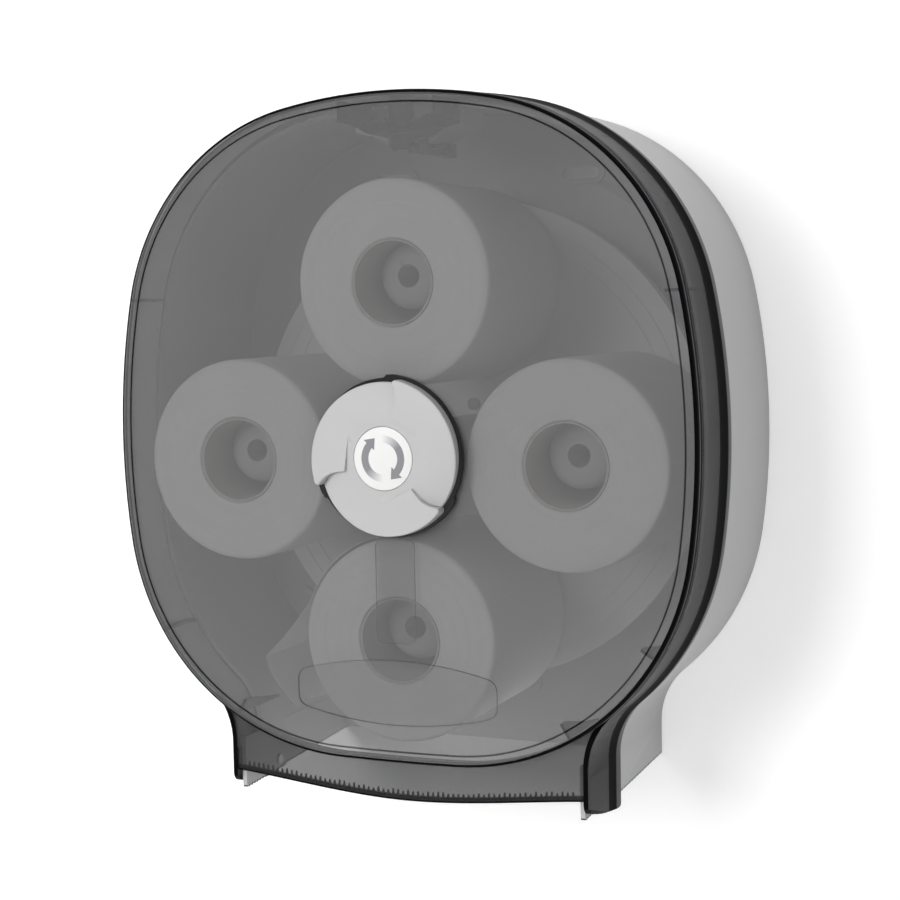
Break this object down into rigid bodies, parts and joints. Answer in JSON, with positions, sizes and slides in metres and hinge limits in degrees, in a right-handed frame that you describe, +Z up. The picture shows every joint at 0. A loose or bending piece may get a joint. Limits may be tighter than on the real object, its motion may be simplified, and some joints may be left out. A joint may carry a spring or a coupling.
{
  "type": "toilet roll dispenser",
  "caption": "Wall dispenser holding several toilet rolls on a turning carousel behind a hinged smoke cover with a front knob, key lock and paper chute.",
  "frame": {"origin": "on the wall face, at the carousel's axis", "axes": "+X to the viewer's right, +Y into the wall, -Y to the front, +Z up"},
  "size_m": [0.347, 0.159, 0.3949],
  "materials": {
    "case_grey": "fine satin moulded ABS",
    "steel": "zinc-plated, satin",
    "lock_metal": "polished plating",
    "smoke_cover": "glossy smoke-tinted clear plastic, moulded in one piece",
    "label": "clear blank label plate",
    "knob_black": "satin black moulded plastic",
    "knob_light": "satin light grey moulded plastic",
    "disc_white": "satin white",
    "arrow_grey": "printed or inlaid grey, fading at the tail of each arrow",
    "carousel_white": "fine satin moulded plastic",
    "paper": "soft white tissue paper, wound",
    "cardboard": null
  },
  "bodies": {
    "case": {"back_shell": "case_grey", "axle_post": "steel", "axle_screws": "steel", "axle_washer": "steel", "axle_nut": "steel", "hinge_pins": "steel", "catch_bracket": "steel", "catch_screws": "steel"},
    "cover": {"front_cover": "smoke_cover", "label_plate": "label", "tear_bar": "steel", "lock_trough": "smoke_cover"},
    "lock": {"lock_cylinder": "lock_metal", "lock_cam": "steel", "cam_screw": "steel"},
    "knob": {"knob_base": "knob_black", "knob_cap": "knob_light", "knob_disc": "disc_white", "knob_arrows": "arrow_grey", "knob_clip": "knob_black"},
    "carousel": {"carousel_disc": "carousel_white", "drive_shaft": "case_grey", "drive_tongue": "knob_black", "shaft_screws": "steel", "spindle_top": "case_grey", "spindle_right": "case_grey", "spindle_bottom": "case_grey", "spindle_left": "case_grey", "spindle_screws": "steel", "paper_tail": "paper"},
    "roll_unit_top": {"roll_top": "paper", "core_top": "cardboard"},
    "roll_unit_right": {"roll_right": "paper", "core_right": "cardboard"},
    "roll_unit_bottom": {"roll_bottom": "paper", "core_bottom": "cardboard"},
    "roll_unit_left": {"roll_left": "paper", "core_left": "cardboard"}
  },
  "joints": [
    {"name": "cover_swing", "type": "hinge", "parent": "case", "child": "cover", "pos_m": [0, -0.097, -0.186], "axis": [1, 0, 0], "range_deg": [0, 100]},
    {"name": "lock_turn", "type": "hinge", "parent": "cover", "child": "lock", "pos_m": [0, -0.1265, 0.17], "axis": [0, 0, -1], "range_deg": [0, 90]},
    {"name": "carousel_turn", "type": "hinge", "parent": "case", "child": "carousel", "pos_m": [0, -0.03, 0], "axis": [0, 1, 0], "continuous": true},
    {"name": "knob_turn", "type": "hinge", "parent": "cover", "child": "knob", "pos_m": [0, -0.147, 0], "axis": [0, 1, 0], "continuous": true},
    {"name": "roll_top_spin", "type": "hinge", "parent": "carousel", "child": "roll_unit_top", "pos_m": [0, -0.0865, 0.0938], "axis": [0, 1, 0], "continuous": true},
    {"name": "roll_right_spin", "type": "hinge", "parent": "carousel", "child": "roll_unit_right", "pos_m": [0.0975, -0.0865, -0.0037], "axis": [0, 1, 0], "continuous": true},
    {"name": "roll_bottom_spin", "type": "hinge", "parent": "carousel", "child": "roll_unit_bottom", "pos_m": [0, -0.0865, -0.1012], "axis": [0, 1, 0], "continuous": true},
    {"name": "roll_left_spin", "type": "hinge", "parent": "carousel", "child": "roll_unit_left", "pos_m": [-0.0975, -0.0865, -0.0037], "axis": [0, 1, 0], "continuous": true}
  ],
  "couplings": [
    {"joint": "knob_turn", "follows": "carousel_turn", "ratio": 1}
  ]
}
